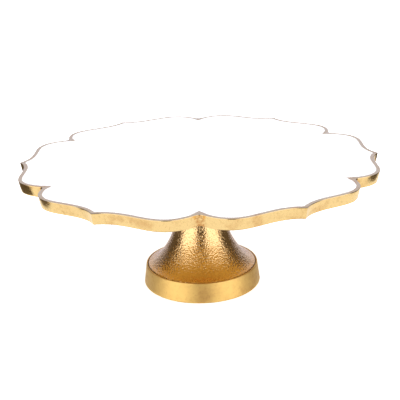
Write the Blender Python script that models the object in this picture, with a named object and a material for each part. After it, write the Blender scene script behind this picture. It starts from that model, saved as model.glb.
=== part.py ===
"""Cake stand: a six-lobed cast plate with a white enamel top, bolted from below onto a hollow
trumpet pedestal that stands in a smooth foot band on four small pads.

Metres, +Z up. The origin is on the floor, on the stand's axis. An inward cusp of the plate
points to -Y and an outward tip to +X.
"""

import math

import bmesh
import bpy
from mathutils import Matrix, Vector

# Overall sizes
OVERALL_HEIGHT = 0.1230  # floor to the top of the plate
TIP_RADIUS = 0.1650  # axis to an outward tip of the plate

# Outline of the plate: each half lobe is one curve from an inward cusp to an outward tip
LOBES = 6
CUSP_DEPTH = 0.0147  # how much nearer the axis a cusp is than a tip
CUSP_LEAN = math.radians(44.5)  # how far outwards the curve leaves the cusp
TIP_LEAN = math.radians(37.4)  # how far outwards it still runs when it meets the tip
CUSP_FULLNESS = 0.587  # length of each end's handle, as a share of the half lobe's chord
TIP_FULLNESS = 0.407

# Plate casting and its enamel
RIM_HEIGHT = 0.0100
RIM_DRAFT = 0.0020  # how far the rim wall leans in on its way down
RIM_LIP = 0.0050  # width of the rim's flat bottom edge
PAN_DRAFT = 0.0010  # lean of the shallow pan's wall underneath
DECK_THICKNESS = 0.0062  # casting from its top to the pan underneath
BORDER_WIDTH = 0.0032  # polished metal left showing round the enamel
ENAMEL_THICKNESS = 0.0015
BOSS_RADIUS = 0.0270  # round boss under the plate that takes the bolt
BOSS_LENGTH = 0.0078

# Pedestal casting
SEAT_RADIUS = 0.0290  # flared top, under the plate's boss
WAIST_RADIUS = 0.0230
WAIST_HEIGHT = 0.0690  # floor to the narrowest place
SEAT_DECK = 0.0050  # solid top that the bolt pulls against
PEDESTAL_WALL = 0.0040
LEDGE_DROP = 0.0006  # how far the flare's outer edge lies below the band's top edge
FOOT_FLARE = 0.67  # shape exponent of the lower flare: under 1 hugs the waist, then sweeps out
SEAT_FLARE = 0.6

# Foot band
BAND_TOP_RADIUS = 0.0533
BAND_BOTTOM_RADIUS = 0.0556
BAND_HEIGHT = 0.0190
BAND_EDGE = 0.0014  # wall at the band's top edge
BAND_CHAMFER = 0.0008  # on its two outer edges
BASE_THICKNESS = 0.0030  # inward base that the pedestal's skirt stands on
BASE_WIDTH = 0.0130

# Pads under the band
PAD_COUNT = 4
PAD_RADIUS = 0.0045
PAD_THICKNESS = 0.0015
PAD_SEAT_DEPTH = 0.0008

# Gasket, bolt and washers
GASKET_THICKNESS = 0.0010
BOLT_RADIUS = 0.0040
BOLT_LENGTH = 0.0200
BOLT_HEAD_FLATS = 0.0130  # across the flats
BOLT_HEAD_HEIGHT = 0.0053
BOLT_END_CHAMFER = 0.0006
FLAT_WASHER_RADIUS = 0.0120
FLAT_WASHER_THICKNESS = 0.0016
SPRING_WASHER_RADIUS = 0.0070
SPRING_WASHER_THICKNESS = 0.0020
SPRING_WASHER_GAP = math.radians(14)

# Fits
GAP = 0.0003  # between pieces that touch
BOLT_CLEARANCE = 0.0005  # round the bolt where it passes through the pedestal and the gasket
BOLT_END_ROOM = 0.0005  # above the bolt's end in its blind hole

# Fineness of the facets
HALF_LOBE_STEPS = 10
TURN_STEPS = 64
FLARE_STEPS = 8
SMALL_TURN_STEPS = 24
WASHER_STEPS = 36
SMOOTH_BELOW = math.radians(30)
MERGE_DISTANCE = 0.000001

# Heights worked out from the sizes above
band_bottom = PAD_THICKNESS + GAP - PAD_SEAT_DEPTH
band_top = band_bottom + BAND_HEIGHT
skirt_bottom = band_bottom + BASE_THICKNESS + GAP
ledge_height = band_top - LEDGE_DROP
rim_bottom = OVERALL_HEIGHT - RIM_HEIGHT
pan_height = OVERALL_HEIGHT - DECK_THICKNESS
boss_bottom = pan_height - BOSS_LENGTH
gasket_bottom = boss_bottom - GAP - GASKET_THICKNESS
seat_height = gasket_bottom - GAP
seat_deck_bottom = seat_height - SEAT_DECK
flat_washer_bottom = seat_deck_bottom - GAP - FLAT_WASHER_THICKNESS
spring_washer_bottom = flat_washer_bottom - GAP - SPRING_WASHER_THICKNESS
head_top = spring_washer_bottom - GAP

# Radii worked out from the sizes above
band_bore_radius = BAND_TOP_RADIUS - BAND_EDGE
skirt_radius = band_bore_radius - GAP
skirt_bore_radius = skirt_radius - PEDESTAL_WALL
pad_circle_radius = BAND_BOTTOM_RADIUS - BASE_WIDTH / 2
bolt_hole_radius = BOLT_RADIUS + BOLT_CLEARANCE
bolt_fit_radius = BOLT_RADIUS + GAP


def clear_scene():
    for old in list(bpy.data.objects):
        bpy.data.objects.remove(old, do_unlink=True)


def make_material(name, colour, roughness, metallic):
    material = bpy.data.materials.new(name)
    material.use_nodes = True
    shader = material.node_tree.nodes["Principled BSDF"]
    shader.inputs["Base Color"].default_value = (*colour, 1.0)
    shader.inputs["Roughness"].default_value = roughness
    shader.inputs["Metallic"].default_value = metallic
    return material


def make_object(name, shape, material, height, parent):
    """Turns a bmesh into a shaded object, standing at a height on the axis."""
    mesh = bpy.data.meshes.new(name)
    bmesh.ops.recalc_face_normals(shape, faces=shape.faces)
    shape.to_mesh(mesh)
    shape.free()
    mesh.materials.append(material)
    mesh.shade_smooth()
    mesh.set_sharp_from_angle(angle=SMOOTH_BELOW)
    made = bpy.data.objects.new(name, mesh)
    made.location = (0, 0, height)
    made.parent = parent
    bpy.context.scene.collection.objects.link(made)
    return made


# ---------------------------------------------------------------- outlines


def half_lobe(share):
    """Place and direction on the half lobe from the cusp (share 0, on +X) to the tip (share 1).

    Beyond either end the curve goes on straight, so that a parallel curve can reach the
    corner's centre line.
    """
    half_angle = math.pi / LOBES
    cusp = Vector((TIP_RADIUS - CUSP_DEPTH, 0))
    tip = TIP_RADIUS * Vector((math.cos(half_angle), math.sin(half_angle)))
    chord = (tip - cusp).length
    leave = math.pi / 2 - CUSP_LEAN
    arrive = math.pi / 2 + half_angle - TIP_LEAN
    cusp_handle = cusp + CUSP_FULLNESS * chord * Vector((math.cos(leave), math.sin(leave)))
    tip_handle = tip - TIP_FULLNESS * chord * Vector((math.cos(arrive), math.sin(arrive)))
    inside = min(max(share, 0.0), 1.0)
    first = cusp.lerp(cusp_handle, inside)
    middle = cusp_handle.lerp(tip_handle, inside)
    last = tip_handle.lerp(tip, inside)
    start, end = first.lerp(middle, inside), middle.lerp(last, inside)
    direction = 3 * (end - start)
    return start.lerp(end, inside) + (share - inside) * direction, direction


def inset_half_lobe(share, inset):
    """The same curve, moved inwards by inset."""
    place, direction = half_lobe(share)
    inwards = Vector((-direction.y, direction.x)).normalized()
    return place + inset * inwards


def crossing(inset, angle, low, high):
    """Share at which the moved curve crosses the ray at an angle, by halving low to high."""
    normal = Vector((-math.sin(angle), math.cos(angle)))
    for _ in range(50):
        middle = (low + high) / 2
        if inset_half_lobe(middle, inset).dot(normal) < 0:
            low = middle
        else:
            high = middle
    return (low + high) / 2


def lobed_ring(inset, height):
    """Points round the plate's outline moved inwards by inset, with mitred corners."""
    half_angle = math.pi / LOBES
    first = crossing(inset, 0.0, -0.5, 0.5)
    last = crossing(inset, half_angle, 0.5, 1.5)
    shares = [first + (last - first) * i / HALF_LOBE_STEPS for i in range(HALF_LOBE_STEPS + 1)]
    up = [inset_half_lobe(share, inset) for share in shares]
    mirror = Matrix.Rotation(2 * half_angle, 2) @ Matrix(((1, 0), (0, -1)))
    down = [mirror @ point for point in reversed(up)]
    lobe = up[:-1] + down[:-1]
    ring = []
    for k in range(LOBES):
        turn = Matrix.Rotation(2 * half_angle * k - math.pi / 2, 2)
        ring += [(turn @ point).to_3d() + Vector((0, 0, height)) for point in lobe]
    return ring


def round_ring(radius, height, count):
    """Points round a circle, starting on -Y."""
    angles = [math.tau * i / count - math.pi / 2 for i in range(count)]
    return [Vector((radius * math.cos(a), radius * math.sin(a), height)) for a in angles]


def hexagon_ring(across_flats, height, count):
    """Points round a hexagon, at even angles that include its corners."""
    ring = round_ring(across_flats / 2, height, count)
    side = math.tau / 6
    for i, point in enumerate(ring):
        from_flat = math.tau * i / count % side - side / 2
        point.xy /= math.cos(from_flat)
    return ring


# ---------------------------------------------------------------- shapes


def fill_holes(shape):
    bmesh.ops.holes_fill(shape, edges=[edge for edge in shape.edges if edge.is_boundary])


def lofted(rings, origin_height=0.0):
    """A solid extruded through rings of equally many points, each starting on the same side.

    The rings' heights are measured from the floor; the solid's are from origin_height.
    """
    shape = bmesh.new()
    end = shape.faces.new([shape.verts.new(point) for point in rings[0]])
    for ring in rings[1:]:
        end = bmesh.ops.extrude_discrete_faces(shape, faces=[end])["faces"][0]
        for corner, point in zip(end.verts, ring):
            corner.co = point
    fill_holes(shape)
    bmesh.ops.translate(shape, verts=shape.verts, vec=(0, 0, -origin_height))
    return shape


def profile_of(shape, points):
    """Draws a closed profile of (radius, height) points in the XZ plane."""
    corners = [shape.verts.new((radius, 0, height)) for radius, height in points]
    sides = [shape.edges.new((corners[i - 1], corners[i])) for i in range(len(corners))]
    return corners + sides


def turned(points, steps, angle=math.tau):
    """A solid turned from a closed profile that stays off the axis, all round or part of the way."""
    shape = bmesh.new()
    bmesh.ops.spin(
        shape,
        geom=profile_of(shape, points),
        cent=(0, 0, 0),
        axis=(0, 0, 1),
        angle=angle,
        steps=steps,
        use_merge=angle == math.tau,
    )
    bmesh.ops.remove_doubles(shape, verts=shape.verts, dist=MERGE_DISTANCE)
    fill_holes(shape)
    return shape


def washer(inner_radius, outer_radius, thickness, angle=math.tau):
    section = [
        (inner_radius, 0),
        (outer_radius, 0),
        (outer_radius, thickness),
        (inner_radius, thickness),
    ]
    return turned(section, WASHER_STEPS, angle)


def flare(narrow_end, wide_end, exponent):
    """(radius, height) points of a hollow flare, from its upright narrow end to its wide edge."""
    (narrow, upright_height), (wide, edge_height) = narrow_end, wide_end
    points = []
    for i in range(FLARE_STEPS + 1):
        # The steps shorten towards the wide edge, where the sweep bends most.
        rise = (1 - i / FLARE_STEPS) ** 2
        spread = (1 - rise**exponent) ** (1 / exponent)
        points.append(
            (narrow + spread * (wide - narrow), edge_height + rise * (upright_height - edge_height))
        )
    return points


def thickened(points, wall):
    """The points of a profile that runs downwards, each moved by wall towards its hollow side."""
    moved = []
    for i, (radius, height) in enumerate(points):
        before, after = points[max(i - 1, 0)], points[min(i + 1, len(points) - 1)]
        along = Vector((after[0] - before[0], after[1] - before[1])).normalized()
        moved.append((radius + wall * along.y, height - wall * along.x))
    return moved


# ---------------------------------------------------------------- pieces


def make_plate(material, stand):
    """Lobed casting: enamel recess on top, leaning rim wall, shallow pan and boss underneath."""
    count = 2 * LOBES * HALF_LOBE_STEPS
    rim_foot = RIM_DRAFT + RIM_LIP
    bolt_end = head_top + BOLT_LENGTH
    rings = [
        lobed_ring(BORDER_WIDTH, OVERALL_HEIGHT - ENAMEL_THICKNESS - GAP),
        lobed_ring(BORDER_WIDTH, OVERALL_HEIGHT),
        lobed_ring(0, OVERALL_HEIGHT),
        lobed_ring(RIM_DRAFT, rim_bottom),
        lobed_ring(rim_foot, rim_bottom),
        lobed_ring(rim_foot + PAN_DRAFT, pan_height),
        round_ring(BOSS_RADIUS, pan_height, count),
        round_ring(BOSS_RADIUS, boss_bottom, count),
        round_ring(bolt_fit_radius, boss_bottom, count),
        round_ring(bolt_fit_radius, bolt_end + BOLT_END_ROOM, count),
    ]
    return make_object("plate", lofted(rings, OVERALL_HEIGHT), material, OVERALL_HEIGHT, stand)


def make_enamel_top(material, stand):
    """Flat layer of enamel that fills the plate's recess, flush with its border."""
    edge = BORDER_WIDTH + GAP
    rings = [lobed_ring(edge, 0), lobed_ring(edge, ENAMEL_THICKNESS)]
    height = OVERALL_HEIGHT - ENAMEL_THICKNESS
    return make_object("enamel_top", lofted(rings), material, height, stand)


def make_pedestal(material, stand):
    """Hollow trumpet casting with a solid top, and a skirt that stands in the foot band."""
    waist = (WAIST_RADIUS, WAIST_HEIGHT)
    upper = flare(waist, (SEAT_RADIUS, seat_height), SEAT_FLARE)
    lower = flare(waist, (skirt_radius, ledge_height), FOOT_FLARE)
    outside = upper[::-1] + lower[1:]
    inside = [
        (radius, height)
        for radius, height in thickened(outside, PEDESTAL_WALL)
        if height < seat_deck_bottom and radius < skirt_bore_radius
    ]
    profile = [(bolt_hole_radius, seat_height), *outside, (skirt_radius, skirt_bottom)]
    profile += [(skirt_bore_radius, skirt_bottom), (skirt_bore_radius, inside[-1][1])]
    profile += inside[::-1]
    profile += [(inside[0][0], seat_deck_bottom), (bolt_hole_radius, seat_deck_bottom)]
    local = [(radius, height - skirt_bottom) for radius, height in profile]
    return make_object("pedestal", turned(local, TURN_STEPS), material, skirt_bottom, stand)


def make_foot_band(material, stand):
    """Smooth tapered ring with an inward base, and a shallow seat under it for each pad."""
    base_radius = BAND_BOTTOM_RADIUS - BASE_WIDTH
    profile = [
        (base_radius, 0),
        (BAND_BOTTOM_RADIUS - BAND_CHAMFER, 0),
        (BAND_BOTTOM_RADIUS, BAND_CHAMFER),
        (BAND_TOP_RADIUS, BAND_HEIGHT - BAND_CHAMFER),
        (BAND_TOP_RADIUS - BAND_CHAMFER, BAND_HEIGHT),
        (band_bore_radius, BAND_HEIGHT),
        (band_bore_radius, BASE_THICKNESS),
        (base_radius, BASE_THICKNESS),
    ]
    band = make_object("foot_band", turned(profile, TURN_STEPS), material, band_bottom, stand)
    seats = bmesh.new()
    for place in pad_places():
        bmesh.ops.create_cone(
            seats,
            cap_ends=True,
            segments=SMALL_TURN_STEPS,
            radius1=PAD_RADIUS + GAP,
            radius2=PAD_RADIUS + GAP,
            depth=2 * PAD_SEAT_DEPTH,
            matrix=Matrix.Translation(place),
        )
    cutter = make_object("pad_seat_cutter", seats, material, band_bottom, stand)
    cutter.hide_render = True
    cutter.display_type = "WIRE"
    cut = band.modifiers.new("pad_seats", "BOOLEAN")
    cut.operation = "DIFFERENCE"
    cut.solver = "EXACT"
    cut.object = cutter
    return band


def pad_places():
    """Centres of the pads, between the plate's points to the front and to the sides."""
    angles = [math.tau * (i + 0.5) / PAD_COUNT for i in range(PAD_COUNT)]
    return [pad_circle_radius * Vector((math.cos(a), math.sin(a), 0)) for a in angles]


def make_foot_pads(material, stand):
    for number, place in enumerate(pad_places(), start=1):
        disc = bmesh.new()
        bmesh.ops.create_cone(
            disc,
            cap_ends=True,
            segments=SMALL_TURN_STEPS,
            radius1=PAD_RADIUS,
            radius2=PAD_RADIUS,
            depth=PAD_THICKNESS,
            matrix=Matrix.Translation((0, 0, PAD_THICKNESS / 2)),
        )
        pad = make_object(f"foot_pad_{number}", disc, material, 0, stand)
        pad.location = place


def make_plate_gasket(material, stand):
    shape = washer(bolt_hole_radius, BOSS_RADIUS, GASKET_THICKNESS)
    return make_object("plate_gasket", shape, material, gasket_bottom, stand)


def make_centre_bolt(material, stand):
    """Hexagon-headed bolt that comes up through the pedestal into the plate's boss."""
    count = SMALL_TURN_STEPS
    end = BOLT_HEAD_HEIGHT + BOLT_LENGTH
    rings = [
        hexagon_ring(BOLT_HEAD_FLATS, 0, count),
        hexagon_ring(BOLT_HEAD_FLATS, BOLT_HEAD_HEIGHT, count),
        round_ring(BOLT_RADIUS, BOLT_HEAD_HEIGHT, count),
        round_ring(BOLT_RADIUS, end - BOLT_END_CHAMFER, count),
        round_ring(BOLT_RADIUS - BOLT_END_CHAMFER, end, count),
    ]
    height = head_top - BOLT_HEAD_HEIGHT
    return make_object("centre_bolt", lofted(rings), material, height, stand)


def make_washers(material, stand):
    flat = washer(bolt_fit_radius, FLAT_WASHER_RADIUS, FLAT_WASHER_THICKNESS)
    make_object("flat_washer", flat, material, flat_washer_bottom, stand)
    spring = washer(
        bolt_fit_radius,
        SPRING_WASHER_RADIUS,
        SPRING_WASHER_THICKNESS,
        math.tau - SPRING_WASHER_GAP,
    )
    make_object("spring_washer", spring, material, spring_washer_bottom, stand)


def build():
    clear_scene()
    stand = bpy.data.objects.new("cake_stand", None)
    bpy.context.scene.collection.objects.link(stand)
    gold_casting = make_material("gold_casting", (0.93, 0.66, 0.30), 0.32, 1.0)
    gold_band = make_material("gold_band", (0.95, 0.69, 0.34), 0.22, 1.0)
    white_enamel = make_material("white_enamel", (0.95, 0.95, 0.94), 0.12, 0.0)
    plated_steel = make_material("plated_steel", (0.62, 0.63, 0.65), 0.30, 1.0)
    soft_gasket = make_material("soft_gasket", (0.06, 0.06, 0.06), 0.85, 0.0)
    soft_pad = make_material("soft_pad", (0.10, 0.09, 0.08), 0.90, 0.0)
    make_plate(gold_casting, stand)
    make_enamel_top(white_enamel, stand)
    make_pedestal(gold_casting, stand)
    make_foot_band(gold_band, stand)
    make_foot_pads(soft_pad, stand)
    make_plate_gasket(soft_gasket, stand)
    make_centre_bolt(plated_steel, stand)
    make_washers(plated_steel, stand)


build()
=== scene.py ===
# %% [markdown]
# # A lobed cake stand
# The stand has a six-lobed cast plate with a white enamel top. A trumpet-shaped pedestal holds
# it up, and stands in a smooth foot band. The packed model gives every size, so the lesson
# starts by loading it and noting the box that the finished object has to stay inside.

import math

import bmesh
import bpy
from mathutils import Matrix, Vector, geometry, noise


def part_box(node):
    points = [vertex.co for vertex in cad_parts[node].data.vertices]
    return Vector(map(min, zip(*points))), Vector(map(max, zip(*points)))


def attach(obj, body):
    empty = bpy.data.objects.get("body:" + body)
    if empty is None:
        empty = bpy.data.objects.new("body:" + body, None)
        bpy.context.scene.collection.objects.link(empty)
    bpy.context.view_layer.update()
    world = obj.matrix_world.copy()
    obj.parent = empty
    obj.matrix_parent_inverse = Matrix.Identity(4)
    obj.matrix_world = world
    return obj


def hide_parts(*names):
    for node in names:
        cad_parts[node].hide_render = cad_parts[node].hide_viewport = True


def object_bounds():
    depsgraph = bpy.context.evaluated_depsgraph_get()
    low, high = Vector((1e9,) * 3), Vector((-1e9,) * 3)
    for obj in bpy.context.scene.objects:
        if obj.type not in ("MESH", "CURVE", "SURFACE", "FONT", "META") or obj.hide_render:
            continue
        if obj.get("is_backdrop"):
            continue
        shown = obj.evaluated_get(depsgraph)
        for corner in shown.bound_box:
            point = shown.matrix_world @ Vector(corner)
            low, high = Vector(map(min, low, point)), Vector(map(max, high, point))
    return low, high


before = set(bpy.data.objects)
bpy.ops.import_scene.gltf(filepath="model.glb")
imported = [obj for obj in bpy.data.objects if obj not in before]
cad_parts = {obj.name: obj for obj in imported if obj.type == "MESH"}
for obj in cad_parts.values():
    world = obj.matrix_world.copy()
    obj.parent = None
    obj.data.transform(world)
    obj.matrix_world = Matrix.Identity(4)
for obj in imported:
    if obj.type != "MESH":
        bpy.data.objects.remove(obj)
cad_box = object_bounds()
LOW, HIGH = cad_box
TOP = HIGH.z
print("stand:", [round(1000 * side) for side in HIGH - LOW], "mm")

# %% [markdown]
# ## Camera
# A buyer looks at the stand from a little above the plate. The camera is put at a distance and
# an elevation from the middle of the plate's top, then it is tipped down further, so that the
# whole stand is in view. It is also rolled a little, as a camera held by hand is.

# %% Camera
CAMERA_DISTANCE = 0.7755
CAMERA_ELEVATION = math.radians(16.44)
CAMERA_TURN = math.radians(0.34)
CAMERA_PITCH = math.radians(90 - 19.34)
CAMERA_ROLL = math.radians(-1.71)
LENS, SENSOR = 75.67, 36  # millimetres

away = Vector((0, -math.cos(CAMERA_ELEVATION), math.sin(CAMERA_ELEVATION)))
turn = Matrix.Rotation(CAMERA_TURN, 4, "Z")
place = turn @ (Vector((0, 0, TOP)) + CAMERA_DISTANCE * away)
aim = turn @ Matrix.Rotation(CAMERA_PITCH, 4, "X") @ Matrix.Rotation(CAMERA_ROLL, 4, "Z")
lens = bpy.data.cameras.new("camera")
lens.lens, lens.sensor_width = LENS, SENSOR
camera = bpy.data.objects.new("camera", lens)
bpy.context.scene.collection.objects.link(camera)
camera.matrix_world = Matrix.Translation(place) @ aim
bpy.context.scene.camera = camera
bpy.context.scene.view_settings.view_transform = "Standard"
print("camera at", [round(c, 3) for c in place])

# %% [markdown]
# ## Shader maths
# A finish is a recipe of nodes. Writing each node out by hand is long and hides the idea, so two
# small classes do it. A `Number` wraps one output socket, and adding or multiplying two of them
# adds a Math node. A `Recipe` is one node tree, and its `add` method makes any other node from
# its type, its settings and the values or links of its sockets.

# %% Number and Recipe
FIRST_COLOUR, SECOND_COLOUR, MIXED_COLOUR = 6, 7, 2  # the colour sockets of a Mix node


class Number:
    def __init__(self, recipe, socket):
        self.recipe, self.socket = recipe, socket

    def maths(self, operation, *values):
        return self.recipe.add("ShaderNodeMath", {"operation": operation}, *values)

    def __add__(self, other):
        return self.maths("ADD", self, other)

    def __sub__(self, other):
        return self.maths("SUBTRACT", self, other)

    def __rsub__(self, other):
        return self.maths("SUBTRACT", other, self)

    def __mul__(self, other):
        return self.maths("MULTIPLY", self, other)

    def __truediv__(self, other):
        return self.maths("DIVIDE", self, other)

    def __pow__(self, other):
        return self.maths("POWER", self, other)

    __radd__, __rmul__ = __add__, __mul__

    def highest(self, other):
        return self.maths("MAXIMUM", self, other)

    def step(self, start, end):
        """Smooth rise from 0 where this is start to 1 where it is end."""
        settings = {"interpolation_type": "SMOOTHSTEP"}
        return self.recipe.add("ShaderNodeMapRange", settings, Value=self, From_Min=start,
                               From_Max=end)


class Recipe:
    def __init__(self, tree):
        self.tree = tree
        tree.nodes.clear()

    def add(self, kind, settings=None, *values, out=0, **named):
        node = self.tree.nodes.new(kind)
        for key, value in (settings or {}).items():
            setattr(node, key, value)
        sockets = dict(enumerate(values)) | {key.replace("_", " "): v for key, v in named.items()}
        for key, value in sockets.items():
            self.feed(node.inputs[key], value)
        return Number(self, node.outputs[out]) if len(node.outputs) else node

    def feed(self, socket, value):
        if isinstance(value, Number):
            self.tree.links.new(value.socket, socket)
        else:
            socket.default_value = value


def colour_mix(recipe, share, first, second):
    """The first colour where share is 0 and the second where it is 1."""
    node = recipe.add("ShaderNodeMix", {"data_type": "RGBA"}, share).socket.node
    recipe.feed(node.inputs[FIRST_COLOUR], first)
    recipe.feed(node.inputs[SECOND_COLOUR], second)
    return Number(recipe, node.outputs[MIXED_COLOUR])


print("maths:", [name for name in vars(Number) if name.startswith("__r")])

# %% [markdown]
# ## Studio
# Polished metal shows the room more than itself, so the room is part of the finish. Two tall
# bright panels stand to the left and right of the camera, with a dark gap between them where the
# camera is, and they fade towards the top. The sides of the room are dim and brown. Behind the
# stand is a cooler backdrop, below is a pale table, shaded right under the plate, and overhead is
# a pale ceiling. Real panels could be modelled, but in a world made of nodes each part can fade
# into the next, and nothing stands in the way of the camera. The camera itself sees plain white.

# %% World
# Where each part of the room begins and is whole, as the cosine of the angle to the camera's side
GAP_COSINE = (0.943, 0.966)
PANEL_COSINE = (0.13, 0.24)
BACKDROP_COSINE = (-0.79, -0.86)
# The same as the sine of the angle above the horizon, or below it for the table
PANEL_TOP_SINE = (0.3, 0.56)
CEILING_SINE = (0.8, 0.95)
TABLE_SINE, GAP_TABLE_SINE = (0.22, 0.36), (0.42, 0.5)
SHADE_SINE = (0.8, 0.93)
# How bright each part is
PANEL_LIGHT = 1.66
PANEL_TOP_LIGHT = 0.45
BACKDROP_LIGHT = 0.72
ROOM_LIGHT = 0.105
CEILING_LIGHT = 0.95
TABLE_LIGHT = 1.05
SHADE_LIGHT = 0.41  # the table right under the plate
WHITE, BROWN = (1, 0.985, 0.96, 1), (1, 0.80, 0.55, 1)  # the dim parts of the room are brown
WHITE_FROM = 0.6  # the light at which brown has turned to white
COOL = (1, 1, 1.22, 1)
ALMOST_NOTHING = 0.0001  # avoids a division by zero straight up and straight down


def build_world():
    world = bpy.data.worlds.new("studio")
    bpy.context.scene.world = world
    world.use_nodes = True
    recipe = Recipe(world.node_tree)
    coordinates = recipe.add("ShaderNodeTexCoord")
    split = recipe.add("ShaderNodeSeparateXYZ", None, coordinates)
    y, z = (Number(recipe, socket) for socket in split.socket.node.outputs[1:])
    level = (1 - z * z).highest(ALMOST_NOTHING) ** 0.5
    to_camera = 0 - y / level
    gap = to_camera.step(*GAP_COSINE)
    front = to_camera.step(*PANEL_COSINE)
    backdrop = to_camera.step(*BACKDROP_COSINE)
    low = 0 - z
    lit = PANEL_LIGHT - z.step(*PANEL_TOP_SINE) * (PANEL_LIGHT - PANEL_TOP_LIGHT)
    room = ROOM_LIGHT + front * (1 - gap) * (lit - ROOM_LIGHT)
    ceiling = z.step(*CEILING_SINE)
    room = room * (1 - ceiling) + ceiling * CEILING_LIGHT
    table = low.step(*TABLE_SINE) * (1 - gap) + low.step(*GAP_TABLE_SINE) * gap
    below = TABLE_LIGHT - low.step(*SHADE_SINE) * (TABLE_LIGHT - SHADE_LIGHT)
    room = room * (1 - table) + table * below
    eye = recipe.add("ShaderNodeLightPath")
    seen = recipe.add("ShaderNodeBackground", None, (1, 1, 1, 1), 1.0)
    tint = colour_mix(recipe, room.step(ROOM_LIGHT, WHITE_FROM), BROWN, WHITE)
    warm = recipe.add("ShaderNodeBackground", None, tint, room)
    cool = recipe.add("ShaderNodeBackground", None, COOL, BACKDROP_LIGHT)
    behind = backdrop * (1 - ceiling) * (1 - table)
    light = recipe.add("ShaderNodeMixShader", None, behind, warm, cool)
    both = recipe.add("ShaderNodeMixShader", None, eye, light, seen)
    recipe.add("ShaderNodeOutputWorld", None, both)


build_world()
print("world:", len(bpy.context.scene.world.node_tree.nodes), "nodes")

# %% [markdown]
# The floor is a pale sheet that glows a little, as a light table does, so it stays white under
# the stand too. From below it is clear, so that the underside of the stand can be looked at. It is
# left out of reflections, where the world already stands for the table. A broad soft lamp
# overhead makes the enamel as white as the floor, and is left out of reflections too. Last come
# two dark cards on the table, one each side. Nothing sees them except the polished metal, which
# they give a dark edge, as black cards do for a jeweller.

# %% Floor, overhead lamp and dark cards
FLOOR_RADIUS = 6.0
FLOOR_DROP = 0.0003  # keeps the floor clear of the pads that stand on it
FLOOR_WHITE, FLOOR_GLOW = 0.9, 0.9
BACKFACING = 6  # the output of the Geometry node that is 1 on the back of a face
LAMP_SIZE = 1.6
LAMP_HEIGHT = 1.5
LAMP_POWER = 24.0
FLAG_SIZE, FLAG_FRONT = 0.9, -0.12
FLAG_HEIGHT = 0.002


def plain_object(name, shape):
    mesh = bpy.data.meshes.new(name)
    shape.to_mesh(mesh)
    shape.free()
    made = bpy.data.objects.new(name, mesh)
    bpy.context.scene.collection.objects.link(made)
    return made


def build_floor():
    shape = bmesh.new()
    just_below = Matrix.Translation((0, 0, -FLOOR_DROP))
    bmesh.ops.create_circle(shape, cap_ends=True, segments=64, radius=FLOOR_RADIUS,
                            matrix=just_below)
    floor = plain_object("floor", shape)
    material = bpy.data.materials.new("pale_light_table")
    material.use_nodes = True
    recipe = Recipe(material.node_tree)
    grey = (FLOOR_WHITE, FLOOR_WHITE, FLOOR_WHITE, 1)
    solid = recipe.add("ShaderNodeBsdfPrincipled", None, Base_Color=grey, Roughness=0.9,
                       Emission_Color=(1, 1, 1, 1), Emission_Strength=FLOOR_GLOW)
    clear = recipe.add("ShaderNodeBsdfTransparent")
    from_below = recipe.add("ShaderNodeNewGeometry", None, out=BACKFACING)
    shader = recipe.add("ShaderNodeMixShader", None, from_below, solid, clear)
    recipe.add("ShaderNodeOutputMaterial", None, shader)
    floor.data.materials.append(material)
    floor.visible_glossy = False
    floor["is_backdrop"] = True


def build_lamp():
    light = bpy.data.lights.new("overhead", "AREA")
    light.shape, light.size, light.energy = "DISK", LAMP_SIZE, LAMP_POWER
    lamp = bpy.data.objects.new("overhead", light)
    lamp.location = (0, 0, LAMP_HEIGHT)
    lamp.visible_camera = lamp.visible_glossy = False
    bpy.context.scene.collection.objects.link(lamp)


def build_flag(name, near, lean):
    """A dark card on the table beside the stand, seen only in reflections."""
    shape = bmesh.new()
    half = FLAG_SIZE / 2
    place = Matrix.Translation((near, FLAG_FRONT, FLAG_HEIGHT))
    corner = place @ Matrix.Rotation(lean, 4, "Z")
    card = corner @ Matrix.Translation((math.copysign(half, near), half, 0))
    bmesh.ops.create_grid(shape, x_segments=1, y_segments=1, size=half, matrix=card)
    flag = plain_object(name, shape)
    material = bpy.data.materials.new(name)
    material.use_nodes = True
    recipe = Recipe(material.node_tree)
    shader = recipe.add("ShaderNodeBsdfPrincipled", None, Base_Color=(0, 0, 0, 1), Roughness=1.0,
                        Emission_Color=BROWN, Emission_Strength=ROOM_LIGHT)
    recipe.add("ShaderNodeOutputMaterial", None, shader)
    flag.data.materials.append(material)
    flag.visible_camera = flag.visible_diffuse = flag.visible_shadow = False
    flag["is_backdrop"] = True


build_floor()
build_lamp()
build_flag("left_flag", -0.300, 0.06)
build_flag("right_flag", 0.340, -0.06)
print("floor radius", FLOOR_RADIUS, "m, lamp", LAMP_POWER, "W")

# %% [markdown]
# ## Gold finishes
# The stand is cast metal with a gold finish, which shows in five places. The rim of the plate is
# brushed by hand, so it is satin and a little mottled, and its notches keep their tarnish. The
# border on top is rubbed paler, and the underside is left as it was cast. The foot band is turned
# smooth, then dulled. One function makes these four, from how dull each is, the size of its
# mottling and grain, and how deep the grain is. The pedestal keeps the pebbled skin of its mould
# and is polished over it, so it has a function of its own.

# %% Gold
RIM_GOLD = (0.94, 0.68, 0.31)
GOLD = (0.93, 0.62, 0.30)
RUBBED_GOLD = (0.73, 0.59, 0.38)
CAST_GOLD = (0.73, 0.50, 0.13)
BAND_GOLD = (0.91, 0.60, 0.20)
TARNISH = (0.62, 0.31, 0.10)
NOTCH_RADII = (0.1508, 0.1550)  # all tarnish inside the first, none outside the second
PEBBLE_SCALE, WANDER_SCALE = 700.0, 600.0  # pebbles to a metre, and what breaks up their rows
CREASE = (0.048, 0.034)  # the heights between which the pebbles get deeper towards the foot
OBJECT_COORDINATES = 3  # the output of the Texture Coordinate node
RELIEF_DEPTH = 0.0004


def new_material(name):
    material = bpy.data.materials.new(name)
    material.use_nodes = True
    recipe = Recipe(material.node_tree)
    recipe.position = recipe.add("ShaderNodeTexCoord", None, out=OBJECT_COORDINATES)
    return material, recipe


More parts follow.
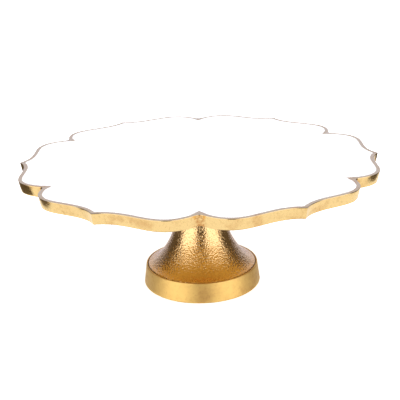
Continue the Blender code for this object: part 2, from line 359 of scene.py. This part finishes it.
def noise_of(recipe, scale, detail=3.0, rough=0.55, distortion=0.0):
    return recipe.add("ShaderNodeTexNoise", None, Vector=recipe.position, Scale=scale,
                      Detail=detail, Roughness=rough, Distortion=distortion)


def finish_with(recipe, shader):
    recipe.add("ShaderNodeOutputMaterial", None, shader)


def notch_share(recipe):
    """1 in the notches of the plate's outline and 0 well outside them."""
    split = recipe.add("ShaderNodeSeparateXYZ", None, recipe.position)
    x, y = (Number(recipe, socket) for socket in split.socket.node.outputs[:2])
    return ((x * x + y * y) ** 0.5).step(*NOTCH_RADII[::-1])


def satin_gold(name, gold, dullness, mottle, grain, relief, notched=False):
    material, recipe = new_material(name)
    clouds = noise_of(recipe, mottle, 4.0, 0.6)
    specks = noise_of(recipe, mottle * 6, 3.0, 0.6)
    stain = clouds.step(0.48, 0.75) * 0.5 + specks.step(0.5, 0.8) * 0.35
    if notched:
        stain = stain + notch_share(recipe) * specks.step(0.25, 0.6) * 0.9
    colour = colour_mix(recipe, stain, (*gold, 1), (*TARNISH, 1))
    rough = dullness + (clouds - 0.5) * 0.2 + (specks - 0.5) * 0.1
    height = noise_of(recipe, grain, 4.0, 0.6) * 0.6 + clouds * 1.2
    bump = recipe.add("ShaderNodeBump", None, Strength=relief, Distance=RELIEF_DEPTH,
                      Height=height)
    shader = recipe.add("ShaderNodeBsdfPrincipled", None, Base_Color=colour, Metallic=1.0,
                        Roughness=rough, Normal=bump)
    finish_with(recipe, shader)
    return material


def pebbled_gold(name, gold, dullness, relief):
    material, recipe = new_material(name)
    wander = noise_of(recipe, WANDER_SCALE, 2.0, 0.5, 0.8)
    pebble = recipe.add("ShaderNodeTexVoronoi", {"feature": "SMOOTH_F1"}, Vector=recipe.position,
                        Scale=PEBBLE_SCALE, Smoothness=0.4)
    split = recipe.add("ShaderNodeSeparateXYZ", None, recipe.position)
    low_down = Number(recipe, split.socket.node.outputs[2]).step(*CREASE)
    height = ((1 - pebble) * 0.7 + wander * 1.1) * (1 + low_down * 0.7)
    clouds = noise_of(recipe, 60.0)
    pits = wander.step(0.45, 0.28) * 0.55
    colour = colour_mix(recipe, clouds.step(0.5, 0.8) * 0.2 + pits, (*gold, 1), (*TARNISH, 1))
    bump = recipe.add("ShaderNodeBump", None, Strength=relief, Distance=RELIEF_DEPTH,
                      Height=height)
    rough = dullness + (clouds - 0.5) * 0.08
    shader = recipe.add("ShaderNodeBsdfPrincipled", None, Base_Color=colour, Metallic=1.0,
                        Roughness=rough, Normal=bump)
    finish_with(recipe, shader)
    return material


rim_gold = satin_gold("satin_gold_rim", RIM_GOLD, 0.13, 80.0, 700.0, 0.22, notched=True)
border_gold = satin_gold("rubbed_gold_border", RUBBED_GOLD, 0.2, 60.0, 900.0, 0.2)
cast_gold = satin_gold("cast_gold_underside", CAST_GOLD, 0.4, 45.0, 600.0, 0.6)
band_gold = satin_gold("satin_gold_band", BAND_GOLD, 0.46, 60.0, 1500.0, 0.5)
flare_gold = pebbled_gold("pebbled_gold_pedestal", GOLD, 0.08, 0.6)
print("gold finishes:", rim_gold.name, band_gold.name, flare_gold.name)

# %% [markdown]
# ## Enamel, steel and rubber
# The enamel is a thick white glaze, glossy and very slightly wavy where it flowed. The bolt and
# washers are zinc-plated steel. The gasket and the pads are rubber, dull and a little dusty.

# %% Enamel, steel and rubber
def glazed_white():
    material, recipe = new_material("white_enamel")
    flow = noise_of(recipe, 45.0, 2.0, 0.5)
    drift = noise_of(recipe, 9.0, 2.0, 0.5)
    colour = colour_mix(recipe, drift, (0.93, 0.93, 0.925, 1), (0.96, 0.96, 0.955, 1))
    bump = recipe.add("ShaderNodeBump", None, Strength=0.12, Distance=0.0003, Height=flow)
    shader = recipe.add("ShaderNodeBsdfPrincipled", None, Base_Color=colour,
                        Roughness=0.1 + drift * 0.06, Normal=bump, Coat_Weight=0.5)
    finish_with(recipe, shader)
    return material


def plated_steel():
    material, recipe = new_material("zinc_plated_steel")
    clouds = noise_of(recipe, 220.0)
    grain = noise_of(recipe, 1800.0, 2.0)
    colour = colour_mix(recipe, clouds, (0.55, 0.56, 0.58, 1), (0.72, 0.72, 0.7, 1))
    bump = recipe.add("ShaderNodeBump", None, Strength=0.3, Distance=0.0001, Height=grain)
    shader = recipe.add("ShaderNodeBsdfPrincipled", None, Base_Color=colour, Metallic=1.0,
                        Roughness=0.24 + clouds * 0.2, Normal=bump)
    finish_with(recipe, shader)
    return material


def dull_rubber(name, dark, dusty):
    material, recipe = new_material(name)
    dust = noise_of(recipe, 260.0, 4.0, 0.65)
    grain = noise_of(recipe, 2600.0, 2.0)
    colour = colour_mix(recipe, dust.step(0.4, 0.8) * 0.6, (*dark, 1), (*dusty, 1))
    bump = recipe.add("ShaderNodeBump", None, Strength=0.4, Distance=0.0001, Height=grain)
    shader = recipe.add("ShaderNodeBsdfPrincipled", None, Base_Color=colour,
                        Roughness=0.72 + dust * 0.2, Normal=bump)
    finish_with(recipe, shader)
    return material


enamel = glazed_white()
steel = plated_steel()
gasket_rubber = dull_rubber("black_gasket_rubber", (0.02, 0.02, 0.02), (0.09, 0.085, 0.08))
pad_rubber = dull_rubber("dark_pad_rubber", (0.045, 0.04, 0.036), (0.14, 0.13, 0.12))
print("other finishes:", enamel.name, steel.name, gasket_rubber.name, pad_rubber.name)

# %% [markdown]
# ## Finishing a piece
# Every new piece ends the same way. Its doubles are merged, its normals are recalculated to face
# out, it gets its material, and it is shaded smooth except at sharp edges. It rides on the
# stand's one body, and the CAD node that it replaces is hidden. The round pieces also start the
# same way, as a profile that is spun about the stand's axis.

# %% Helper for every piece
MERGE = 1e-6
LEVEL = 1e-6  # two heights closer than this are the same
SHARP = math.radians(32)
BROAD = 40  # a face with more corners than this is a broad flat one
BROAD_FRAME = 0.0006  # the narrow frame round a broad face, which keeps its shading flat


def finished(name, shape, material, node):
    bmesh.ops.remove_doubles(shape, verts=shape.verts, dist=MERGE)
    bmesh.ops.recalc_face_normals(shape, faces=shape.faces)
    broad = [face for face in shape.faces if len(face.verts) > BROAD]
    bmesh.ops.inset_individual(shape, faces=broad, thickness=BROAD_FRAME,
                                use_even_offset=True)
    made = plain_object(name, shape)
    made.data.materials.append(material)
    made.data.shade_smooth()
    made.data.set_sharp_from_angle(angle=SHARP)
    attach(made, "root")
    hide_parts(node)
    print(f"{name}: {len(made.data.polygons)} faces")
    return made


def drawn(shape, points, closed):
    corners = [shape.verts.new(point) for point in points]
    pairs = list(zip(corners, corners[1:])) + ([(corners[-1], corners[0])] if closed else [])
    return corners + [shape.edges.new(pair) for pair in pairs]


def turned(points, steps, angle=math.tau):
    """A ring turned from a closed profile of (radius, height) points."""
    shape = bmesh.new()
    geom = drawn(shape, [(radius, 0, height) for radius, height in points], closed=True)
    bmesh.ops.spin(shape, geom=geom, cent=(0, 0, 0), axis=(0, 0, 1), angle=angle, steps=steps,
                   use_merge=angle == math.tau)
    bmesh.ops.remove_doubles(shape, verts=shape.verts, dist=MERGE)
    return shape


def bevelled(shape, edges, width, segments=3):
    bmesh.ops.bevel(shape, geom=edges, offset=width, offset_type="OFFSET", segments=segments,
                    profile=0.5, affect="EDGES", material=-1, clamp_overlap=True)


# %% [markdown]
# ## The plate's outline
# The plate has six pointed lobes. One half lobe is a single Bezier curve, which leaves the inward
# cusp at a slant, swells, and meets the outward tip at a slant. Mirroring it gives a lobe, and
# turning the lobe six times gives the outline, so the symmetry is exact.

# %% Outline
LOBES = 6
HALF_STEPS = 24
TIP_RADIUS = HIGH.x
NOTCH_DEPTH = 0.0147
CUSP_RADIUS = TIP_RADIUS - NOTCH_DEPTH
CUSP_LEAN, TIP_LEAN = math.radians(44.5), math.radians(37.4)
CUSP_FULLNESS, TIP_FULLNESS = 0.587, 0.407


def half_lobe():
    """Points from an inward cusp on +X to the next outward tip."""
    half = math.pi / LOBES
    cusp = Vector((CUSP_RADIUS, 0, 0))
    tip = TIP_RADIUS * Vector((math.cos(half), math.sin(half), 0))
    chord = (tip - cusp).length
    leave, arrive = math.pi / 2 - CUSP_LEAN, math.pi / 2 + half - TIP_LEAN
    first = cusp + CUSP_FULLNESS * chord * Vector((math.cos(leave), math.sin(leave), 0))
    second = tip - TIP_FULLNESS * chord * Vector((math.cos(arrive), math.sin(arrive), 0))
    return geometry.interpolate_bezier(cusp, first, second, tip, HALF_STEPS + 1)


def outline_face(height):
    """The whole outline as one face, with an inward cusp on -Y."""
    shape = bmesh.new()
    drawn(shape, half_lobe(), closed=False)
    half = Matrix.Rotation(-math.pi / LOBES, 3, "Z")
    bmesh.ops.rotate(shape, verts=shape.verts, matrix=half)
    bmesh.ops.mirror(shape, geom=shape.verts[:] + shape.edges[:], matrix=Matrix.Identity(4),
                     merge_dist=MERGE, axis="Y")
    bmesh.ops.spin(shape, geom=shape.verts[:] + shape.edges[:], cent=(0, 0, 0), axis=(0, 0, 1),
                   angle=math.tau, steps=LOBES, use_duplicate=True)
    bmesh.ops.remove_doubles(shape, verts=shape.verts, dist=MERGE)
    bmesh.ops.translate(shape, verts=shape.verts, vec=(0, 0, height))
    bmesh.ops.contextual_create(shape, geom=shape.edges[:])
    return shape


trial = outline_face(TOP)
print("outline:", len(trial.verts), "points,", len(trial.faces), "face")
trial.free()

# %% [markdown]
# ## Plate casting
# The casting is extruded from the outline. The top is inset to leave a border, and pressed down
# inside it for the enamel. Below, the rim wall leans in to a flat lip, and a shallow pan rises to
# the underside of the deck, with a round boss for the bolt. The rim's edges are worn round.

# %% Plate
BORDER = 0.0035
RECESS = 0.0018
RIM_HEIGHT = 0.0100
RIM_DRAFT, RIM_LIP = 0.0020, 0.0050
DECK = 0.0062
BOSS_RADIUS, BOSS_BOTTOM = 0.0270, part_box("plate")[0].z
TOP_WEAR, BOTTOM_WEAR = 0.0003, 0.0008
WALL_STEPS = ((0.06, 0.03), (0.14, 0.10), (0.45, 0.38), (0.8, 0.74), (0.88, 0.84), (1, 1))
CUSP_FILLET = 0.0040  # where the notches are filled in on the outside
SPIKE, SPIKE_REACH = 0.0030, 0.0120  # how the border runs inwards from a notch
SPIKE_SHARPNESS = 2.5
PAN_DRAFT = 0.994  # the sides of the pan lean in by this share of its width
NEAR_CUSP = 0.0003
BORDER_SLOT, CAST_SLOT = 1, 2  # the material slots after the rim's


def inset_face(shape, face, distance):
    bmesh.ops.inset_region(shape, faces=[face], thickness=distance, use_even_offset=True,
                           use_boundary=True)


def moved(shape, face, height=0.0, scale=1.0):
    bmesh.ops.translate(shape, verts=face.verts, vec=(0, 0, height))
    bmesh.ops.scale(shape, verts=face.verts, vec=(scale, scale, 1))
    return face


def extruded(shape, face, height, scale=1.0):
    face = bmesh.ops.extrude_discrete_faces(shape, faces=[face])["faces"][0]
    return moved(shape, face, height, scale)


def facing_up(shape):
    face = shape.faces[:][0]
    face.normal_update()
    if face.normal.z < 0:
        bmesh.ops.reverse_faces(shape, faces=[face])
    return face


RAY_WIDTH = 0.0005  # as a share of a lobe


def at_corners(verts, first_angle):
    """The points that lie on the rays to the cusps (30 degrees) or to the tips (0 degrees)."""
    turns = LOBES / math.tau
    found = []
    for vert in verts:
        share = (math.atan2(vert.co.y, vert.co.x) - first_angle) * turns
        if abs(share - round(share)) < RAY_WIDTH:
            found.append(vert)
    return found


def with_spikes(face):
    """Pulls the points of a face near each notch towards the axis."""
    cusps = at_corners(face.verts, math.pi / LOBES)
    places = [vert.co.copy() for vert in cusps]
    for vert in face.verts:
        near = min((vert.co - place).length for place in places)
        pull = SPIKE * max(0, 1 - near / SPIKE_REACH) ** SPIKE_SHARPNESS
        vert.co -= vert.co.xy.normalized().to_3d() * pull


def horizontal(edge):
    return abs(edge.verts[0].co.z - edge.verts[1].co.z) < LEVEL


def at_height(vert, height):
    return abs(vert.co.z - height) < LEVEL


def build_plate():
    shape = outline_face(TOP)
    top = facing_up(shape)
    bottom = bmesh.ops.duplicate(shape, geom=[top])
    under = [item for item in bottom["geom"] if isinstance(item, bmesh.types.BMFace)][0]
    bmesh.ops.reverse_faces(shape, faces=[under])
    inset_face(shape, top, BORDER)
    with_spikes(top)
    extruded(shape, top, -RECESS)
    scale, drop = 1.0, 0.0
    for depth, lean in WALL_STEPS:
        wanted = 1 - lean * RIM_DRAFT / TIP_RADIUS
        under = extruded(shape, under, (drop - depth) * RIM_HEIGHT, wanted / scale)
        scale, drop = wanted, depth
    under = extruded(shape, under, 0, 1 - RIM_LIP / TIP_RADIUS / scale)
    extruded(shape, under, RIM_HEIGHT - DECK, PAN_DRAFT)
    bmesh.ops.remove_doubles(shape, verts=shape.verts, dist=MERGE)
    bmesh.ops.recalc_face_normals(shape, faces=shape.faces)
    reach = RIM_DRAFT + NEAR_CUSP
    outer = [v for v in shape.verts if v.co.xy.length > CUSP_RADIUS - reach]
    wall = {v for v in at_corners(outer, math.pi / LOBES)
            if abs(v.co.xy.length - CUSP_RADIUS) < reach}
    notches = [e for e in shape.edges if not horizontal(e) and all(v in wall for v in e.verts)]
    bevelled(shape, notches, CUSP_FILLET, 5)
    sharp = [e for e in shape.edges if horizontal(e) and e.calc_face_angle(0) > SHARP]
    top_edges = [e for e in sharp if at_height(e.verts[0], TOP)]
    low_edges = [e for e in sharp if at_height(e.verts[0], TOP - RIM_HEIGHT)]
    bevelled(shape, top_edges, TOP_WEAR, 2)
    bevelled(shape, low_edges, BOTTOM_WEAR, 3)
    made = finished("plate_casting", shape, rim_gold, "plate")
    made.data.materials.append(border_gold)
    made.data.materials.append(cast_gold)
    for face in made.data.polygons:
        inwards = face.normal.xy.dot(face.center.xy) < -1e-4 * face.normal.length
        if face.center.z > TOP - TOP_WEAR and face.normal.z > 0.3:
            face.material_index = BORDER_SLOT
        elif face.center.z < TOP - RECESS - 0.001 and (face.normal.z < -0.95 or inwards):
            face.material_index = CAST_SLOT


build_plate()

# %% [markdown]
# ## Boss
# The boss is turned, and reaches up into the deck so that the two read as one casting.

# %% Boss
BOLT_HOLE = 0.0043
BOSS_EDGE, BOSS_FILLET = 0.0006, 0.0025
INTO_DECK = 0.001  # how far the boss reaches into the deck


def build_boss():
    deck, fillet, bend = TOP - DECK, BOSS_FILLET, 0.3 * BOSS_FILLET
    profile = [(BOLT_HOLE, BOSS_BOTTOM), (BOSS_RADIUS - BOSS_EDGE, BOSS_BOTTOM),
               (BOSS_RADIUS, BOSS_BOTTOM + BOSS_EDGE), (BOSS_RADIUS, deck - fillet),
               (BOSS_RADIUS + bend, deck - bend), (BOSS_RADIUS + fillet, deck + 0.0002),
               (BOSS_RADIUS + fillet, deck + INTO_DECK), (BOLT_HOLE, deck + INTO_DECK)]
    finished("plate_boss", turned(profile, 96), cast_gold, "plate")


build_boss()

# %% [markdown]
# ## Enamel top
# The glaze fills the recess up to the border. Its own outline is the same curve, inset, and its
# corners at the tips are rounded where the glaze pulled back while it was melted.

# %% Enamel
GLAZE_DEPTH = 0.0016
GLAZE_OVERLAP = 0.0001  # how far the glaze runs up to and over the border's inner edge
GLAZE_TIP, GLAZE_EDGE = 0.0035, 0.0004


def build_enamel():
    shape = outline_face(TOP)
    top = facing_up(shape)
    inset_face(shape, top, BORDER - GLAZE_OVERLAP)
    with_spikes(top)
    bmesh.ops.delete(shape, geom=[f for f in shape.faces if f is not top], context="FACES")
    bmesh.ops.delete(shape, geom=[v for v in shape.verts if not v.link_faces], context="VERTS")
    tips = at_corners(top.verts, 0)
    bmesh.ops.bevel(shape, geom=tips, offset=GLAZE_TIP, offset_type="OFFSET", segments=5,
                    profile=0.5, affect="VERTICES", material=-1)
    extruded(shape, shape.faces[:][0], -GLAZE_DEPTH)
    bmesh.ops.holes_fill(shape, edges=[e for e in shape.edges if e.is_boundary])
    bmesh.ops.recalc_face_normals(shape, faces=shape.faces)
    rim = [e for e in shape.edges if all(at_height(v, TOP) for v in e.verts)]
    bevelled(shape, rim, GLAZE_EDGE, 3)
    finished("enamel_layer", shape, enamel, "enamel_top")


build_enamel()

# %% [markdown]
# ## Pedestal
# The pedestal is a hollow trumpet. Its outside is two flares that meet at the waist: a short one
# up to the seat under the boss, and a long one down to the ledge inside the foot band. A profile
# that is spun round keeps it exact. The outside has a point every 0.6 mm, so that real pebbles
# can be pushed into it next.

# %% Pedestal profile
WAIST_RADIUS, WAIST_HEIGHT = 0.0230, 0.0690
SEAT_RADIUS, SEAT_HEIGHT = 0.0290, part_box("pedestal")[1].z
SKIRT_RADIUS, SKIRT_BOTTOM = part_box("pedestal")[1].x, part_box("pedestal")[0].z
LIP = 0.0003  # how far the flare's lip stands above the band
LEDGE_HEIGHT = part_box("foot_band")[1].z + LIP
PEDESTAL_WALL = 0.0040
SEAT_HOLE = 0.0045
FINE_STEP = 0.0006
INSIDE_EVERY = 8  # the hidden inside keeps one point in eight
SEAT_DECK = 0.0050
FOOT_FLARE, SEAT_FLARE = 0.67, 0.6
GROOVE_WIDTH, GROOVE_DEPTH = 0.0006, 0.0030  # where the flare turns down inside the band
GROOVE_CLEAR = 0.05  # a height well above the groove


def flare(narrow_end, wide_end, exponent, steps):
    (narrow, upright), (wide, edge) = narrow_end, wide_end
    points = []
    for i in range(steps + 1):
        rise = (1 - i / steps) ** 2
        spread = (1 - rise**exponent) ** (1 / exponent)
        points.append((narrow + spread * (wide - narrow), edge + rise * (upright - edge)))
    return points


def evenly(points, spacing):
    """Points along a line of (radius, height) points, about spacing apart."""
    places = [Vector(point) for point in points]
    kept, spare = [places[0]], 0.0
    for start, end in zip(places, places[1:]):
        length = (end - start).length
        along = spacing - spare
        while along <= length:
            kept.append(start.lerp(end, along / length))
            along += spacing
        spare = length - (along - spacing)
    return [tuple(point) for point in kept] + [points[-1]]


def thickened(points, wall):
    moved_points = []
    for i, (radius, height) in enumerate(points):
        before, after = points[max(i - 1, 0)], points[min(i + 1, len(points) - 1)]
        along = Vector((after[0] - before[0], after[1] - before[1])).normalized()
        moved_points.append((radius + wall * along.y, height - wall * along.x))
    return moved_points


def pedestal_profile():
    waist = (WAIST_RADIUS, WAIST_HEIGHT)
    upper = flare(waist, (SEAT_RADIUS, SEAT_HEIGHT), SEAT_FLARE, 60)[::-1]
    lower = flare(waist, (SKIRT_RADIUS, LEDGE_HEIGHT), FOOT_FLARE, 120)
    outside = [(radius, height) for radius, height in evenly(upper + lower[1:], FINE_STEP)
               if radius < SKIRT_RADIUS - GROOVE_WIDTH or height > GROOVE_CLEAR]
    edge = outside[-1][1]
    deck = SEAT_HEIGHT - SEAT_DECK
    bore = SKIRT_RADIUS - PEDESTAL_WALL
    coarse = outside[::INSIDE_EVERY]
    inner = [(radius, height) for radius, height in thickened(coarse, PEDESTAL_WALL)
             if height < deck and radius < bore]
    profile = [(SEAT_HOLE, SEAT_HEIGHT), *outside]
    profile += [(SKIRT_RADIUS - 0.6 * GROOVE_WIDTH, edge - 0.0005)]
    profile += [(SKIRT_RADIUS, edge - GROOVE_DEPTH), (SKIRT_RADIUS, SKIRT_BOTTOM)]
    profile += [(bore, SKIRT_BOTTOM), (bore, inner[-1][1]), *inner[::-1]]
    return profile + [(inner[0][0], deck), (SEAT_HOLE, deck)]


print("pedestal profile:", len(pedestal_profile()), "points")

# %% [markdown]
# The pebbled skin is real relief, up to 0.06 mm deep. Bump alone would leave the outline and the
# mesh smooth, so each point of the outside is pushed in, by a cell pattern with a swirl
# over it.

# %% Pedestal
PEBBLE_DEPTH = 0.00006
PEBBLE_SIZE = 0.0016
SWIRL_SIZE, SWIRL_PLACE = 0.9 * PEBBLE_SIZE, Vector((7, 3, 5))
EDGE_CLEAR = 0.0008, 0.001  # the smooth strips at the foot and at the seat


def build_pedestal():
    shape = turned(pedestal_profile(), 360)
    bmesh.ops.recalc_face_normals(shape, faces=shape.faces)
    shape.normal_update()
    lowest, highest = LEDGE_HEIGHT + EDGE_CLEAR[0], SEAT_HEIGHT - EDGE_CLEAR[1]
    pushes = []
    for vert in shape.verts:
        radius, height = vert.co.xy.length, vert.co.z
        outer = vert.normal.xy.dot(vert.co.xy) > 0 and radius > WAIST_RADIUS - 0.001
        if not outer or not lowest < height < highest:
            continue
        cells = noise.voronoi(vert.co / PEBBLE_SIZE)[0][0]
        swirl = noise.noise(vert.co / SWIRL_SIZE + SWIRL_PLACE)
        depth = min(max(0.9 * cells + 0.35 * swirl, 0), 1)
        pushes.append((vert, depth * PEBBLE_DEPTH))
    for vert, depth in pushes:
        vert.co -= vert.normal * depth
    finished("pedestal_trumpet", shape, flare_gold, "pedestal")


build_pedestal()

# %% [markdown]
# ## Foot band
# The band is a smooth tapered ring with worn edges and an inward base, turned from one profile
# like the pedestal. Its outside has a very slight wave, because it was filed by hand.

# %% Foot band
BAND_TOP_RADIUS = 0.0533
BAND_BOTTOM_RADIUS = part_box("foot_band")[1].x
BAND_LOW, BAND_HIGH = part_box("foot_band")[0].z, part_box("foot_band")[1].z
BAND_WALL, BAND_BASE, BAND_FLOOR = 0.0014, 0.0130, 0.0030
BAND_ROUND = 0.0010
WALL_POINTS = 24
BAND_WAVE, BAND_WAVE_DEPTH = 0.009, 0.0002


def arc(centre, radius, start, end, steps):
    angles = [math.radians(start + (end - start) * i / steps) for i in range(steps + 1)]
    return [(centre[0] + radius * math.cos(a), centre[1] + radius * math.sin(a)) for a in angles]


def build_band():
    bore, base = BAND_TOP_RADIUS - BAND_WALL, BAND_BOTTOM_RADIUS - BAND_BASE
    floor = BAND_LOW + BAND_FLOOR
    low = arc((BAND_BOTTOM_RADIUS - BAND_ROUND, BAND_LOW + BAND_ROUND), BAND_ROUND, -90, 0, 4)
    high = arc((BAND_TOP_RADIUS - BAND_ROUND, BAND_HIGH - BAND_ROUND), BAND_ROUND, 0, 90, 4)
    wall = [tuple(Vector(low[-1]).lerp(Vector(high[0]), i / WALL_POINTS))
            for i in range(1, WALL_POINTS)]
    profile = [(base, BAND_LOW), *low, *wall, *high, (bore, BAND_HIGH - 0.0001), (bore, floor),
               (base, floor)]
    shape = turned(profile, 240)
    bmesh.ops.recalc_face_normals(shape, faces=shape.faces)
    shape.normal_update()
    for vert in shape.verts:
        if vert.co.xy.length > BAND_TOP_RADIUS - 0.0002:
            wave = 0.5 + 0.5 * noise.noise(vert.co / BAND_WAVE)
            vert.co -= vert.normal * BAND_WAVE_DEPTH * wave
    finished("foot_ring", shape, band_gold, "foot_band")


build_band()

# %% [markdown]
# ## Small parts underneath
# The gasket, the bolt and its washers hold the plate to the pedestal, and four rubber pads keep
# the foot from scratching a table. They are small, but a reader who turns the stand over sees
# them, so each has its real edges. The gasket and washers are turned rings, and the spring washer
# is turned not quite all the way, which leaves its gap.

# %% Gasket and washers
SPRING_GAP = math.radians(14)


def ring_profile(inner, outer, low, high, ease):
    return [(inner, low), (outer - ease, low), (outer, low + ease), (outer, high - ease),
            (outer - ease, high), (inner, high)]


def build_ring(name, node, material, inner, ease, steps, angle=math.tau):
    low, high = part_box(node)
    shape = turned(ring_profile(inner, high.x, low.z, high.z, ease), steps, angle)
    bmesh.ops.holes_fill(shape, edges=[e for e in shape.edges if e.is_boundary])
    finished(name, shape, material, node)


build_ring("gasket_ring", "plate_gasket", gasket_rubber, SEAT_HOLE, 0.0002, 96)
build_ring("plain_washer", "flat_washer", steel, BOLT_HOLE, 0.0002, 72)
build_ring("lock_washer", "spring_washer", steel, BOLT_HOLE, 0.0003, 60,
           math.tau - SPRING_GAP)

# %% [markdown]
# The bolt is an M8 with a plain hexagon head. Its head is a six-sided face, extruded, with its
# edges taken off, and its shank is a round bar that starts inside the head. The thread is hidden
# in the boss, so it is left out.

# %% Bolt
HEAD_HEIGHT = 0.0053
HEAD_FLATS = 0.0065  # from the axis to a flat of the head
HEAD_EDGE = 0.0005
SHANK_RADIUS, SHANK_EDGE = 0.0040, 0.0006
INTO_HEAD = 0.001  # how far the shank starts inside the head


def build_head(bottom):
    shape = bmesh.new()
    bmesh.ops.create_circle(shape, cap_ends=True, segments=6,
                            radius=HEAD_FLATS / math.cos(math.pi / 6))
    bmesh.ops.rotate(shape, verts=shape.verts, matrix=Matrix.Rotation(math.pi / 6, 3, "Z"))
    bmesh.ops.translate(shape, verts=shape.verts, vec=(0, 0, bottom))
    extruded(shape, shape.faces[:][0], HEAD_HEIGHT)
    bmesh.ops.holes_fill(shape, edges=[e for e in shape.edges if e.is_boundary])
    bmesh.ops.recalc_face_normals(shape, faces=shape.faces)
    bevelled(shape, [e for e in shape.edges if horizontal(e)], HEAD_EDGE, 3)
    finished("bolt_head", shape, steel, "centre_bolt")


def rod(radius, bottom, top, centre=Vector((0, 0, 0))):
    """An upright round bar, closed at both ends."""
    shape = bmesh.new()
    middle = Vector((centre.x, centre.y, (top + bottom) / 2))
    bmesh.ops.create_cone(shape, cap_ends=True, segments=48, radius1=radius, radius2=radius,
                          depth=top - bottom, matrix=Matrix.Translation(middle))
    return shape


def build_shank(bottom, top):
    shape = rod(SHANK_RADIUS, bottom, top)
    rim = [e for e in shape.edges if all(v.co.z > top - LEVEL for v in e.verts)]
    bevelled(shape, rim, SHANK_EDGE, 2)
    finished("bolt_shank", shape, steel, "centre_bolt")


bolt_low, bolt_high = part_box("centre_bolt")
build_head(bolt_low.z)
build_shank(bolt_low.z + HEAD_HEIGHT - INTO_HEAD, bolt_high.z)

# %% [markdown]
# The four pads are rubber discs. The CAD says where each one is, so one loop makes them all.

# %% Pads
PAD_RADIUS, PAD_EDGE = 0.0045, 0.0003

for number in range(1, 5):
    low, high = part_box(f"foot_pad_{number}")
    disc = rod(PAD_RADIUS, low.z, high.z, (low + high) / 2)
    bevelled(disc, [e for e in disc.edges if horizontal(e)], PAD_EDGE, 3)
    finished(f"rubber_pad_{number}", disc, pad_rubber, f"foot_pad_{number}")

# %% [markdown]
# ## Size of the finished model
# The visual model has to stay inside the CAD box, so both boxes are printed.

# %% Finish
bpy.context.view_layer.update()
sizes = {"cad": cad_box, "visual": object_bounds()}
sizes = {key: [list(corner) for corner in box] for key, box in sizes.items()}
print("sizes:", sizes)
